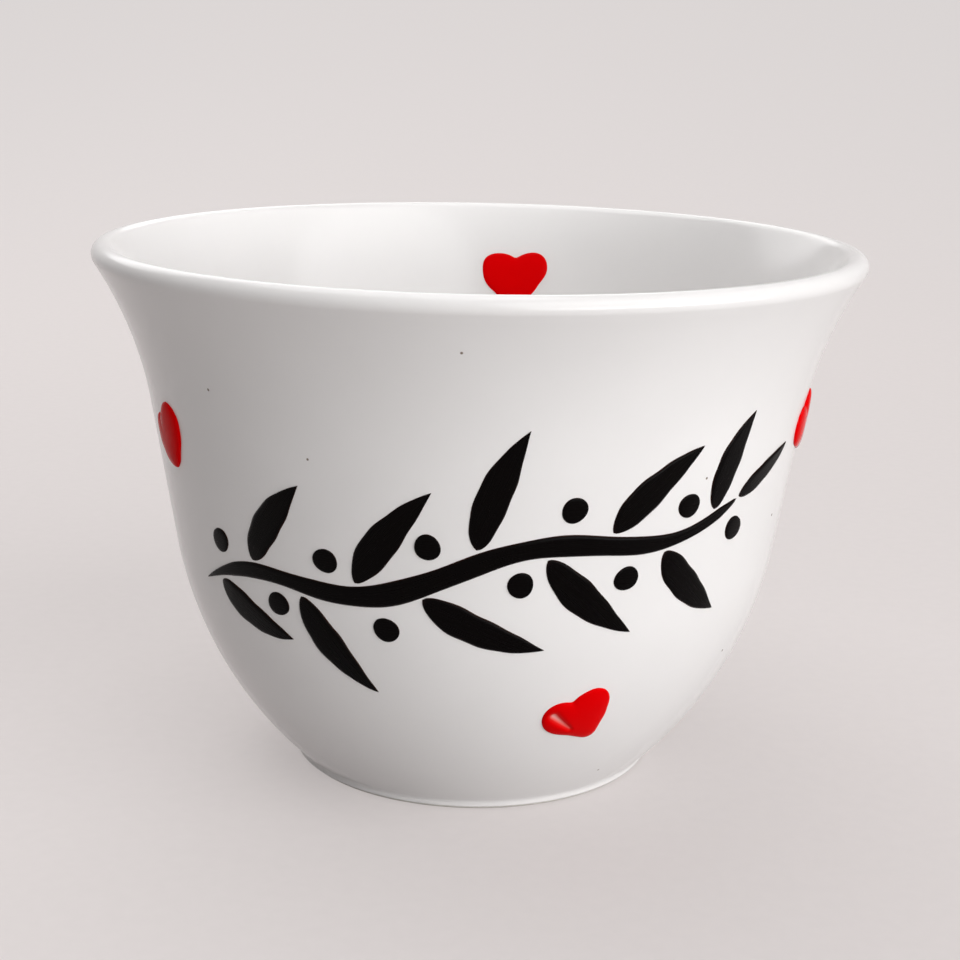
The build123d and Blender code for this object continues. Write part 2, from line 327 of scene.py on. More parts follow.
def lay_flat_piece(piece, profile, azimuth, height, turn=0.0, inside=False):
    """Lay a piece that was modelled flat onto the wall, square to the wall at its middle."""
    depth = profile.cup.wall_thickness if inside else 0.0
    radius, slope = profile.wall_at(height, depth)
    outwards = Vector((math.sin(azimuth), -math.cos(azimuth), 0))
    sideways = Vector((math.cos(azimuth), math.sin(azimuth), 0))
    facing = outwards * slope.x + Vector((0, 0, slope.y))
    middle = outwards * radius + Vector((0, 0, height))
    if inside:
        facing.negate()
        sideways.negate()
    turned = Matrix.Rotation(turn, 3, facing) @ sideways
    upwards = facing.cross(turned)
    for vertex in piece.data.vertices:
        spot = middle + turned * vertex.co.x + upwards * vertex.co.y
        for _ in range(SEATING_STEPS):
            radius, slope = profile.wall_at(spot.z, depth)
            away = Vector((spot.x, spot.y, 0)).normalized() * slope.x + Vector((0, 0, slope.y))
            gap = (math.hypot(spot.x, spot.y) - radius) * slope.x
            spot -= facing * (gap / facing.dot(away))
        vertex.co = on_wall(profile, math.atan2(spot.x, -spot.y), spot.z, vertex.co.z, inside)


def add_node(tree, kind, settings, inputs, stops=()):
    """Add a node, set its properties and its colour stops, and set its inputs or link them."""
    node = tree.nodes.new(kind)
    for name, value in settings.items():
        setattr(node, name, value)
    for index, (position, shade) in enumerate(stops):
        elements = node.color_ramp.elements
        element = elements[index] if index < len(elements) else elements.new(position)
        element.position = position
        element.color = shade
    for socket, value in inputs.items():
        if isinstance(value, bpy.types.NodeSocket):
            tree.links.new(value, node.inputs[socket])
        else:
            node.inputs[socket].default_value = value
    return node


def new_tree(owner):
    """The empty node tree of a new material or world."""
    owner.use_nodes = True
    owner.node_tree.nodes.clear()
    return owner.node_tree


def per(millimetres):
    """Scale of a pattern that repeats over so many millimetres."""
    return 1 / (millimetres * MM)


def looked_at(tree):
    """1 for rays of the camera and for those that gloss or glass sends on, and 0 for scattered light."""
    rays = add_node(tree, "ShaderNodeLightPath", {}, {})
    direct = add_node(
        tree, "ShaderNodeMath", {"operation": "MAXIMUM"},
        {0: rays.outputs["Is Camera Ray"], 1: rays.outputs["Is Glossy Ray"]},
    )
    sent_on = add_node(
        tree, "ShaderNodeMath", {"operation": "MAXIMUM"},
        {0: direct.outputs["Value"], 1: rays.outputs["Is Transmission Ray"]},
    )
    return sent_on.outputs["Value"]


def tinted(shade, share):
    """A colour made darker or lighter by a share."""
    return (*[min(1.0, channel * share) for channel in shade[:3]], 1.0)


SPECK_SPACING = 7.0   # of the grains in space, in mm. One shows only where the glaze cuts through it
SPECK_RADIUS = 0.091  # of the dark middle of a grain, in mm
SPECK_HALO = 0.168    # where it has faded out, in mm


def glazed_porcelain(finish):
    """Transparent glaze over fired white porcelain: an even gloss over soft white, faintly wavy,
    a little greyer in patches, with rare iron specks."""
    material = bpy.data.materials.new("glazed_white_porcelain")
    tree = new_tree(material)
    place = add_node(tree, "ShaderNodeTexCoord", {}, {}).outputs["Object"]
    clouds = add_node(tree, "ShaderNodeTexNoise", {}, {"Vector": place, "Scale": per(16), "Detail": 3.0})
    tone = add_node(
        tree, "ShaderNodeValToRGB", {}, {"Fac": clouds.outputs["Fac"]},
        stops=((0.35, tinted(finish.glaze, 0.975)), (0.65, tuple(finish.glaze))),
    )
    cells = add_node(tree, "ShaderNodeTexVoronoi", {}, {"Vector": place, "Scale": per(SPECK_SPACING)})
    speck = add_node(
        tree, "ShaderNodeMapRange", {"interpolation_type": "SMOOTHSTEP"},
        {
            "Value": cells.outputs["Distance"],
            "From Min": SPECK_RADIUS / SPECK_SPACING, "From Max": SPECK_HALO / SPECK_SPACING,
            "To Min": 1.0, "To Max": 0.0,
        },
    )
    specked = add_node(
        tree, "ShaderNodeMix", {"data_type": "RGBA"},
        {0: speck.outputs["Result"], 6: tone.outputs["Color"], 7: linear("#7E6E60")},
    )
    smears = add_node(tree, "ShaderNodeTexNoise", {}, {"Vector": place, "Scale": per(9), "Detail": 4.0})
    gloss = add_node(
        tree, "ShaderNodeMapRange", {},
        {"Value": smears.outputs["Fac"], "From Min": 0.3, "From Max": 0.7, "To Min": 0.13, "To Max": 0.2},
    )
    waves = add_node(tree, "ShaderNodeTexNoise", {}, {"Vector": place, "Scale": per(11), "Detail": 1.0})
    bump = add_node(
        tree, "ShaderNodeBump", {},
        {"Height": waves.outputs["Fac"], "Strength": 0.25, "Distance": 0.06 * MM},
    )
    shader = add_node(
        tree, "ShaderNodeBsdfPrincipled", {},
        {
            "Base Color": specked.outputs[2],
            "Roughness": gloss.outputs["Result"],
            "Normal": bump.outputs["Normal"],
            "IOR": 1.5,
        },
    )
    add_node(tree, "ShaderNodeOutputMaterial", {}, {"Surface": shader.outputs["BSDF"]})
    return material


def bare_bisque(finish):
    """Unglazed fired porcelain, wiped by hand: matt, slightly sandy, greyed where it rubs the ground."""
    material = bpy.data.materials.new("bare_wiped_porcelain")
    tree = new_tree(material)
    place = add_node(tree, "ShaderNodeTexCoord", {}, {}).outputs["Object"]
    patches = add_node(tree, "ShaderNodeTexNoise", {}, {"Vector": place, "Scale": per(5), "Detail": 4.0})
    tone = add_node(
        tree, "ShaderNodeValToRGB", {}, {"Fac": patches.outputs["Fac"]},
        stops=((0.35, tinted(finish.bisque, 0.86)), (0.6, tuple(finish.bisque))),
    )
    height = add_node(tree, "ShaderNodeSeparateXYZ", {}, {"Vector": place})
    rub = add_node(
        tree, "ShaderNodeMapRange", {},
        {"Value": height.outputs["Z"], "From Max": 0.25 * MM, "To Min": 0.55, "To Max": 0.0},
    )
    rubbed = add_node(
        tree, "ShaderNodeMix", {"data_type": "RGBA"},
        {0: rub.outputs["Result"], 6: tone.outputs["Color"], 7: linear("#A79E92")},
    )
    grain = add_node(tree, "ShaderNodeTexNoise", {}, {"Vector": place, "Scale": per(0.5), "Detail": 3.0})
    bump = add_node(
        tree, "ShaderNodeBump", {},
        {"Height": grain.outputs["Fac"], "Strength": 0.6, "Distance": 0.05 * MM},
    )
    shader = add_node(
        tree, "ShaderNodeBsdfPrincipled", {},
        {"Base Color": rubbed.outputs[2], "Roughness": 0.72, "Normal": bump.outputs["Normal"]},
    )
    add_node(tree, "ShaderNodeOutputMaterial", {}, {"Surface": shader.outputs["BSDF"]})
    return material


def raised_red_enamel(finish):
    """Thick soft enamel, dropped on and fired: deep red with a thin wet gloss. Along the dent in the front
    heart
    it is painted pale pink: a painted highlight, over the paler colour of the enamel where it runs thin
    there."""
    material = bpy.data.materials.new("raised_red_enamel")
    tree = new_tree(material)
    place = add_node(tree, "ShaderNodeTexCoord", {}, {}).outputs["Object"]
    depth = add_node(tree, "ShaderNodeAttribute", {"attribute_name": "depth"}, {})
    # painted highlight: the thinner the enamel, which it is only along the dent, the paler pink it is
    # painted
    tone = add_node(
        tree, "ShaderNodeValToRGB", {}, {"Fac": depth.outputs["Fac"]},
        stops=(
            (0.1, linear("#F6BAB4")), (0.32, linear("#EE726C")), (0.55, linear("#E3201E")),
            (0.85, tuple(finish.red)),
        ),
    )
    smears = add_node(tree, "ShaderNodeTexNoise", {}, {"Vector": place, "Scale": per(2.2), "Detail": 3.0})
    gloss = add_node(
        tree, "ShaderNodeMapRange", {},
        {"Value": smears.outputs["Fac"], "From Min": 0.3, "From Max": 0.7, "To Min": 0.06, "To Max": 0.14},
    )
    waves = add_node(tree, "ShaderNodeTexNoise", {}, {"Vector": place, "Scale": per(1.6), "Detail": 1.0})
    bump = add_node(
        tree, "ShaderNodeBump", {},
        {"Height": waves.outputs["Fac"], "Strength": 0.2, "Distance": 0.04 * MM},
    )
    shader = add_node(
        tree, "ShaderNodeBsdfPrincipled", {},
        {
            "Base Color": tone.outputs["Color"],
            "Roughness": gloss.outputs["Result"],
            "Normal": bump.outputs["Normal"],
            "IOR": 1.4,
            "Specular IOR Level": 0.02,
        },
    )
    add_node(tree, "ShaderNodeOutputMaterial", {}, {"Surface": shader.outputs["BSDF"]})
    return material


def brushed_black_enamel(finish):
    """Black overglaze enamel put on with a loaded brush: dense, with a soft gloss, faint streaks along
    the stroke and a brown cast where the paint runs thin at its ends and edges."""
    material = bpy.data.materials.new("brushed_black_enamel")
    tree = new_tree(material)
    along = add_node(tree, "ShaderNodeUVMap", {"uv_map": "stroke"}, {})
    stretched = add_node(
        tree, "ShaderNodeMapping", {}, {"Vector": along.outputs["UV"], "Scale": (per(5), per(0.28), 1.0)}
    )
    streaks = add_node(
        tree, "ShaderNodeTexNoise", {},
        {"Vector": stretched.outputs["Vector"], "Scale": 1.0, "Detail": 3.0},
    )
    depth = add_node(tree, "ShaderNodeAttribute", {"attribute_name": "depth"}, {})
    uneven = add_node(
        tree, "ShaderNodeMath", {"operation": "MULTIPLY_ADD"},
        {0: streaks.outputs["Fac"], 1: 0.5, 2: depth.outputs["Fac"]},
    )
    tone = add_node(
        tree, "ShaderNodeValToRGB", {}, {"Fac": uneven.outputs["Value"]},
        stops=((0.3, linear("#4A2A1C")), (0.6, linear("#1A100E")), (0.85, tuple(finish.black))),
    )
    gloss = add_node(
        tree, "ShaderNodeMapRange", {},
        {"Value": streaks.outputs["Fac"], "From Min": 0.3, "From Max": 0.7, "To Min": 0.2, "To Max": 0.36},
    )
    bump = add_node(
        tree, "ShaderNodeBump", {},
        {"Height": streaks.outputs["Fac"], "Strength": 0.3, "Distance": 0.04 * MM},
    )
    shader = add_node(
        tree, "ShaderNodeBsdfPrincipled", {},
        {
            "Base Color": tone.outputs["Color"],
            "Roughness": gloss.outputs["Result"],
            "Normal": bump.outputs["Normal"],
            "IOR": 1.4,
            "Specular IOR Level": 0.06,
        },
    )
    add_node(tree, "ShaderNodeOutputMaterial", {}, {"Surface": shader.outputs["BSDF"]})
    return material


PAPER_GLOW = 1.1  # share of the paper's own colour that it adds to what the lamps show
FADE_START = 0.2  # from the cup, where the paper starts to fade into the backdrop
FADE_END = 0.7


def paper_sweep(finish):
    """Matt studio paper, pale and even, with the faintest tooth. To the camera, and in the gloss of
    the cup, it glows, and further off it fades into the backdrop, so that no edge of it shows."""
    material = bpy.data.materials.new("matt_paper_sweep")
    tree = new_tree(material)
    place = add_node(tree, "ShaderNodeTexCoord", {}, {}).outputs["Object"]
    tooth = add_node(tree, "ShaderNodeTexNoise", {}, {"Vector": place, "Scale": per(1.5), "Detail": 2.0})
    tone = add_node(
        tree, "ShaderNodeValToRGB", {}, {"Fac": tooth.outputs["Fac"]},
        stops=((0.3, tinted(finish.floor, 0.985)), (0.7, tuple(finish.floor))),
    )
    seen = looked_at(tree)
    glow = add_node(tree, "ShaderNodeMath", {"operation": "MULTIPLY"}, {0: seen, 1: PAPER_GLOW})
    paper = add_node(
        tree, "ShaderNodeBsdfPrincipled", {},
        {
            "Base Color": tone.outputs["Color"],
            "Roughness": 0.85,
            "Specular IOR Level": 0.2,
            "Emission Color": tone.outputs["Color"],
            "Emission Strength": glow.outputs["Value"],
        },
    )
    away = add_node(tree, "ShaderNodeVectorMath", {"operation": "LENGTH"}, {0: place})
    far = add_node(
        tree, "ShaderNodeMapRange", {"interpolation_type": "SMOOTHSTEP"},
        {"Value": away.outputs["Value"], "From Min": FADE_START, "From Max": FADE_END},
    )
    faded = add_node(
        tree, "ShaderNodeMath", {"operation": "MULTIPLY"}, {0: seen, 1: far.outputs["Result"]}
    )
    backdrop = add_node(
        tree, "ShaderNodeEmission", {}, {"Color": tuple(finish.backdrop), "Strength": 1.0}
    )
    shown = add_node(
        tree, "ShaderNodeMixShader", {},
        {0: faded.outputs["Value"], 1: paper.outputs["BSDF"], 2: backdrop.outputs["Emission"]},
    )
    add_node(tree, "ShaderNodeOutputMaterial", {}, {"Surface": shown.outputs["Shader"]})
    return material


class CUP_OT_throw_porcelain(bpy.types.Operator):
    """Throw the porcelain, one glaze thickness under the finished surface, down to its wiped foot"""

    bl_idname = "coffee_cup.throw_porcelain"
    bl_label = "Throw Porcelain"

    def execute(self, context):
        cup = context.scene.cup_shape
        profile = CupProfile(cup)
        outer = cup.foot_diameter / 2 - cup.glaze_thickness
        inner = cup.recess_diameter / 2 + cup.glaze_thickness
        edge = cup.foot_edge
        outer_turn = Vector((outer - edge, edge))
        inner_turn = Vector((inner + edge, edge))
        recess = profile.recess(cup.glaze_thickness)
        section = [
            *reversed(profile.outline(cup.glaze_thickness)),
            *arc(outer_turn, Vector((outer, edge)), Vector((outer - edge, 0)), LIP_SPACING),
            *line(Vector((outer - edge, 0)), Vector((inner + edge, 0))),
            *arc(inner_turn, Vector((inner + edge, 0)), Vector((inner, edge)), LIP_SPACING),
            Vector((inner, edge)),
            *recess,
        ]
        piece = throw(section)
        material = bare_bisque(context.scene.cup_finish)
        hand_over(piece, "cup_porcelain", material, "bare_porcelain", "porcelain_body")
        return {"FINISHED"}


class CUP_OT_dip_glaze(bpy.types.Operator):
    """Coat the cup with glaze down to a rounded line above the foot, and leave a pool in the recess"""

    bl_idname = "coffee_cup.dip_glaze"
    bl_label = "Dip in Glaze"

    def execute(self, context):
        cup = context.scene.cup_shape
        profile = CupProfile(cup)
        outer = cup.foot_diameter / 2
        roll = min(cup.glaze_thickness, cup.foot_height - cup.glaze_line)
        roll_centre = Vector((outer - roll, cup.glaze_line + roll))
        roll_end = roll_centre - Vector((0, roll))
        section = [
            *reversed(profile.outline(0)),
            *arc(roll_centre, roll_centre + Vector((roll, 0)), roll_end, LIP_SPACING / 2),
            roll_end,
            Vector((outer - cup.glaze_thickness, cup.glaze_line)),
            *profile.outline(cup.glaze_thickness),
        ]
        piece = throw(section)
        material = glazed_porcelain(context.scene.cup_finish)
        hand_over(piece, "cup_glaze", material, "white_glaze", "glaze_coat")

        top = pool_low.z + cup.glaze_thickness / 2
        inner = cup.recess_diameter / 2
        pool = [
            *reversed(profile.recess(0)),
            Vector((inner, top)),
            Vector((inner + cup.glaze_thickness / 2, pool_low.z)),
            Vector((inner + cup.glaze_thickness, pool_low.z)),
            *profile.recess(cup.glaze_thickness),
        ]
        hand_over(throw(pool), "cup_foot_glaze", material, "white_glaze", "foot_glaze")
        return {"FINISHED"}


# Azimuth of each heart in degrees, its drop below the lip in mm, and where the hand pressed it out
# or in: direction and spread in degrees, and share of the plain outline
HEARTS = {
    "front": (21.6, 37.3, ((192, 22, 0.13), (66, 20, -0.10), (-28, 24, 0.08), (-95, 75, 0.125))),
    "left": (-62.4, 15.9, (
        (-18, 36, 0.28), (-142, 26, 0.26), (-116, 18, 0.10), (-88, 12, -0.08), (150, 26, -0.18),
    )),
    "right": (75.5, 15.1, ((200, 24, 0.05), (90, 16, 0.05))),
    "inside": (172.7, 8.0, (
        (142, 16, 0.08), (48, 24, 0.10), (90, 12, 0.06), (-170, 16, 0.09), (0, 12, -0.07),
    )),
}
HEART_POINTS = 160
HEART_RINGS = 28
HULL_STEPS = 24
HEART_FULLNESS = 0.88  # 1 is a round drop, and less has a flatter top and a steeper edge
DIP_REACH = 0.3        # of the sunk middle, as a share of the width


def heart_reach(heart, share, way):
    """Distance from the middle of a heart to its edge in one direction: a disc is run from each
    lobe to the point, shrinking on the way."""
    lobe = heart.lobe * share
    point = heart.point * share
    half_height = heart.height * share / 2
    lobe_middle = Vector((heart.width * share / 2 - lobe, half_height - lobe))
    point_middle = Vector((0, point - half_height))
    reach = 0.0
    for step in range(HULL_STEPS + 1):
        middle = lobe_middle.lerp(point_middle, step / HULL_STEPS)
        radius = lobe + (point - lobe) * step / HULL_STEPS
        ahead = middle.dot(way)
        aside = middle.length_squared - ahead**2
        if aside < radius**2:
            reach = max(reach, ahead + math.sqrt(radius**2 - aside))
    return reach


# Line of the dent, along which the front heart is painted pale pink as a painted highlight
DENT_START = Vector((-1.92, 1.68)) * MM  # from the middle of the front heart
DENT_END = Vector((-1.22, -0.52)) * MM
DENT_WIDTH = 0.46 * MM
DENT_NARROWS = 0.6  # share of its width that the dent loses on the way
DENT_FADES = 0.3    # share of its depth that it loses


def dent_at(spot):
    """Depth, as a share, of the dent that the brush left in one lobe. It narrows towards its end."""
    run = DENT_END - DENT_START
    share = max(0.0, min(1.0, (spot - DENT_START).dot(run) / run.length_squared))
    off = (spot - DENT_START - run * share).length / (DENT_WIDTH * (1 - DENT_NARROWS * share))
    return (1 - DENT_FADES * share) * math.exp(-(off**2))


def pressed(turn, presses):
    """How far the hand spread the enamel in one direction, as a share of the plain outline."""
    share = 1.0
    for direction, spread, amount in presses:
        off = (turn - math.radians(direction) + math.pi) % math.tau - math.pi
        share += amount * math.exp(-((off / math.radians(spread)) ** 2))
    return share


def note_depth(piece, full):
    """Keep on each point how thick the paint lies there, as a share of its full thickness."""
    depth = piece.data.attributes.new("depth", "FLOAT", "POINT")
    for vertex in piece.data.vertices:
        depth.data[vertex.index].value = max(0.0, min(1.0, vertex.co.z / full))


def swell(piece, rise, rings, fullness):
    """Raise a flat outline to a closed drop: ring by ring inwards and upwards, then shut at the top."""
    bpy.ops.object.mode_set(mode="EDIT")
    bpy.ops.mesh.select_all(action="SELECT")
    share, level = 1.0, 0.0
    for ring in range(1, rings):
        turn = math.pi / 2 * ring / rings
        next_share = math.cos(turn) ** fullness
        next_level = rise * math.sin(turn) ** fullness
        step = (0, 0, next_level - level)
        bpy.ops.mesh.extrude_region_move(TRANSFORM_OT_translate={"value": step})
        shrink = next_share / share
        bpy.ops.transform.resize(value=(shrink, shrink, 1), center_override=(0, 0, 0))
        share, level = next_share, next_level
    bpy.ops.mesh.extrude_region_move(TRANSFORM_OT_translate={"value": (0, 0, rise - level)})
    bpy.ops.mesh.merge(type="CENTER")
    bpy.ops.mesh.select_all(action="SELECT")
    bpy.ops.mesh.normals_make_consistent(inside=False)
    bpy.ops.object.mode_set(mode="OBJECT")


class CUP_OT_drop_hearts(bpy.types.Operator):
    """Drop the four hearts of red enamel onto the glaze, each a little different, as by hand"""

    bl_idname = "coffee_cup.drop_hearts"
    bl_label = "Drop Enamel Hearts"

    def execute(self, context):
        heart = context.scene.heart_shape
        cup = context.scene.cup_shape
        profile = CupProfile(cup)
        material = raised_red_enamel(context.scene.cup_finish)
        for name, (azimuth, drop, presses) in HEARTS.items():
            inside = name == "inside"
            tilt = 0.0 if inside else heart.tilt
            share = heart.inside_width / heart.width if inside else 1.0
            piece = start_piece(
                bpy.ops.mesh.primitive_circle_add, vertices=HEART_POINTS, radius=heart.width / 2,
                fill_type="NGON",
            )
            for vertex in piece.data.vertices:
                turn = math.atan2(vertex.co.y, vertex.co.x)
                way = Vector((abs(math.cos(turn)), math.sin(turn)))
                reach = heart_reach(heart, share, way) * pressed(turn, presses)
                vertex.co = Vector((math.cos(turn), math.sin(turn), 0)) * reach
            bpy.ops.object.mode_set(mode="EDIT")
            bpy.ops.mesh.select_all(action="SELECT")
            bpy.ops.mesh.vertices_smooth(factor=0.5, repeat=8)
            bpy.ops.object.mode_set(mode="OBJECT")
            swell(piece, heart.rise, HEART_RINGS, HEART_FULLNESS)
            sunk_size = DIP_REACH * heart.width * share
            # the share of enamel left also places the painted highlight, pale pink along the dent of the
            # front heart
            depth = piece.data.attributes.new("depth", "FLOAT", "POINT")
            for vertex in piece.data.vertices:
                sunk = heart.dip * math.exp(-((vertex.co.xy.length / sunk_size) ** 2))
                if name == "front":
                    sunk += heart.dent * dent_at(vertex.co.xy)
                left = 1 - sunk / heart.rise
                vertex.co.z *= left
                depth.data[vertex.index].value = left
            lay_flat_piece(piece, profile, math.radians(azimuth), cup.cup_height - drop * MM, tilt, inside)
            bpy.ops.object.shade_smooth()
            hand_over(piece, f"enamel_heart_{name}", material, "red_enamel", f"heart_{name}")
        return {"FINISHED"}


class SprigLine:
    """The line of the stem round the cup, and places beside it."""

    def __init__(self, scene):
        self.sprig = scene.sprig_shape
        self.profile = CupProfile(scene.cup_shape)
        self.middle_height = scene.cup_shape.cup_height - self.sprig.drop

    def share(self, azimuth):
        """Place along the stem, from -0.5 at its left end to 0.5 at its right end."""
        return (azimuth - self.sprig.azimuth) / self.sprig.span

    def height(self, azimuth):
        """Height of the middle of the stem."""
        swing = self.sprig.wave * math.sin(2 * math.tau * self.share(azimuth))
        return self.middle_height + self.sprig.climb * self.share(azimuth) + swing

    def slope(self, azimuth):
        """Climb of the stem."""
        swing = self.sprig.wave * 2 * math.tau * math.cos(2 * math.tau * self.share(azimuth))
        radius, _ = self.profile.wall_at(self.height(azimuth))
        return math.atan2(self.sprig.climb + swing, radius * self.sprig.span)

    def towards_end(self, azimuth, middle, end):
        """A size that goes from its middle value to its end value along the stem."""
        return middle + (end - middle) * (2 * self.share(azimuth)) ** 2

    def half_width(self, azimuth):
        """Half of the width of the stem."""
        return self.towards_end(azimuth, self.sprig.stem_width, self.sprig.stem_end_width) / 2

    def beside(self, azimuth, lead, side):
        """Azimuth and height of a place so far along the stem and to its left."""
        climb = self.slope(azimuth)
        radius, slope = self.profile.wall_at(self.height(azimuth))
        level = lead * math.cos(climb) - side * math.sin(climb)
        upright = lead * math.sin(climb) + side * math.cos(climb)
        return azimuth + level / radius, self.height(azimuth) + upright * slope.x

    def roots(self):
        """Azimuth of the root of each leaf, and the side that it grows to."""
        step = self.sprig.span / self.sprig.leaf_count
        for index in range(self.sprig.leaf_count):
            root = self.sprig.azimuth + step * (index + 0.5 - self.sprig.leaf_count / 2)
            yield root, 1 if index % 2 else -1


PAINT_SINK = 0.01 * MM  # how far the underside of the paint bites into the glaze
PAINT_RIM = 0.03 * MM   # height of the paint at its very edge
STEM_START = 5 * MM     # over which the stem grows to its width
STEM_END = 2 * MM       # over which it ends
STEM_THIN = 2 * MM      # over which the paint of the stem runs thin at its ends
LEAF_THIN = 1.6 * MM    # the same for a leaf
LEAF_BELLY = 0.72       # 1 is a leaf that is fullest at its middle, and less is fuller at its root


def map_strokes(piece):
    """Keep on each face how far along and across its stroke it lies, in metres."""
    stroke = piece.data.uv_layers.active
    stroke.name = "stroke"
    for loop in piece.data.loops:
        stroke.data[loop.index].uv = piece.data.vertices[loop.vertex_index].co.xy


def brush_stroke(shape, thickness, steps_along, steps_across):
    """A closed film of paint. The shape gives, for a place along from 0 to 1 and across from -1 to 1,
    the distance along and across in metres and the share of the thickness."""
    piece = start_piece(
        bpy.ops.mesh.primitive_grid_add, x_subdivisions=steps_along, y_subdivisions=steps_across, size=2,
        calc_uvs=True,
    )
    bpy.ops.object.mode_set(mode="EDIT")
    bpy.ops.mesh.select_all(action="SELECT")
    bpy.ops.mesh.extrude_region_move(TRANSFORM_OT_translate={"value": (0, 0, 1)})
    bpy.ops.object.mode_set(mode="OBJECT")
    for vertex in piece.data.vertices:
        along, across, share = shape((vertex.co.x + 1) / 2, vertex.co.y)
        lift = PAINT_RIM + (thickness - PAINT_RIM) * share
        vertex.co = Vector((along, across, lift if vertex.co.z > 0.5 else -PAINT_SINK))
    map_strokes(piece)
    bpy.ops.object.mode_set(mode="EDIT")
    bpy.ops.mesh.select_all(action="SELECT")
    bpy.ops.mesh.remove_doubles(threshold=MERGE_DISTANCE)
    bpy.ops.mesh.normals_make_consistent(inside=False)
    bpy.ops.object.mode_set(mode="OBJECT")
    bpy.ops.object.shade_smooth()
    return piece


def waver(place, *swings):
    """Uneven swing of the hand at a place, as a sum of sines given as share, rate and start."""
    return sum(share * math.sin(rate * place + start) for share, rate, start in swings)


def film_share(across, from_end, run):
    """Thickness of a stroke: full over its width, falling at its edges and over a run at its ends."""
    return (1 - across**6) ** 0.5 * min(1.0, from_end / run) ** 0.5


class CUP_OT_brush_stem(bpy.types.Operator):
    """Brush the stem of the sprig in one stroke round the front of the cup"""

    bl_idname = "coffee_cup.brush_stem"
    bl_label = "Brush Stem"

    def execute(self, context):
        sprig = context.scene.sprig_shape
        stem = SprigLine(context.scene)
        radius, _ = stem.profile.wall_at(stem.middle_height)
        run = sprig.span * radius

        def stroke(along, across):
            azimuth = sprig.azimuth + sprig.span * (along - 0.5)
            from_end = min(along, 1 - along) * run
            start = min(1.0, along * run / STEM_START) ** 0.7
            end = min(1.0, (1 - along) * run / STEM_END) ** 0.5
            press = 1 + waver(along, (0.08, 19, 0), (0.05, 47, 1.0))
            half = stem.half_width(azimuth) * start * end * press
            return along * run, across * half, film_share(across, from_end, STEM_THIN)

        piece = brush_stroke(stroke, sprig.thickness, steps_along=160, steps_across=10)
        note_depth(piece, sprig.thickness)
        for vertex in piece.data.vertices:
            azimuth = sprig.azimuth + sprig.span * (vertex.co.x / run - 0.5)
            height = stem.height(azimuth) + vertex.co.y / math.cos(stem.slope(azimuth))
            vertex.co = on_wall(stem.profile, azimuth, height, vertex.co.z)
        material = brushed_black_enamel(context.scene.cup_finish)
        hand_over(piece, "brushed_stem", material, "black_enamel", "sprig_stem")
        return {"FINISHED"}


def bulge(chord, depth, place):
    """Height of an arc over its chord at a place along it, from its middle."""
    radius = (chord**2 / 4 + depth**2) / (2 * depth)
    return math.sqrt(max(0.0, radius**2 - place**2)) - (radius - depth)


def brush_leaf(sprig, size, left, right, hand):
    """One leaf, set down full at its root and drawn out to a point."""

    def stroke(along, across):
        place = (along - 0.5) * size
        middle = (bulge(size, left, place) - bulge(size, right, place)) / 2
        fuller = (along**LEAF_BELLY - 0.5) * size
        half = (bulge(size, left, fuller) + bulge(size, right, fuller)) / 2
        ragged = waver(along, (0.035, 9, hand), (0.025, 23, 3 * hand))
        from_end = min(along, 1 - along) * size
        return place, middle + across * half * (1 + ragged), film_share(across, from_end, LEAF_THIN)

    return brush_stroke(stroke, sprig.thickness, steps_along=64, steps_across=14)


class CUP_OT_brush_leaves(bpy.types.Operator):
    """Brush the leaves to both sides of the stem and the one at its tip"""

    bl_idname = "coffee_cup.brush_leaves"
    bl_label = "Brush Leaves"

    def execute(self, context):
        sprig = context.scene.sprig_shape
        stem = SprigLine(context.scene)
        material = bpy.data.materials["brushed_black_enamel"]
        lean = sprig.leaf_angle
        for index, (root, side) in enumerate(stem.roots()):
            size = stem.towards_end(root, sprig.leaf_length, sprig.leaf_end_length)
            aside = stem.half_width(root) + sprig.leaf_gap + size / 2 * math.sin(lean)
            middle = stem.beside(root, size / 2 * math.cos(lean), side * aside)
            bulges = (sprig.leaf_back, sprig.leaf_front)
            piece = brush_leaf(sprig, size, *bulges[::side], hand=1.7 * index)
            note_depth(piece, sprig.thickness)
            lay_flat_piece(piece, stem.profile, *middle, stem.slope(root) + side * lean)
            number = f"{index + 1:02d}"
            hand_over(piece, f"brushed_leaf_{number}", material, "black_enamel", f"sprig_leaf_{number}")
        end = sprig.azimuth + sprig.span / 2
        middle = stem.beside(end, sprig.leaf_gap + sprig.leaf_end_length / 2, 0)
        piece = brush_leaf(sprig, sprig.leaf_end_length, sprig.leaf_front, sprig.leaf_front, hand=0.6)
        note_depth(piece, sprig.thickness)
        lay_flat_piece(piece, stem.profile, *middle, stem.slope(end))
        hand_over(piece, "brushed_leaf_tip", material, "black_enamel", "sprig_leaf_tip")
        return {"FINISHED"}


BERRY_POINTS = 40
BERRY_RINGS = 8
BERRY_FULLNESS = 0.6  # as for the hearts


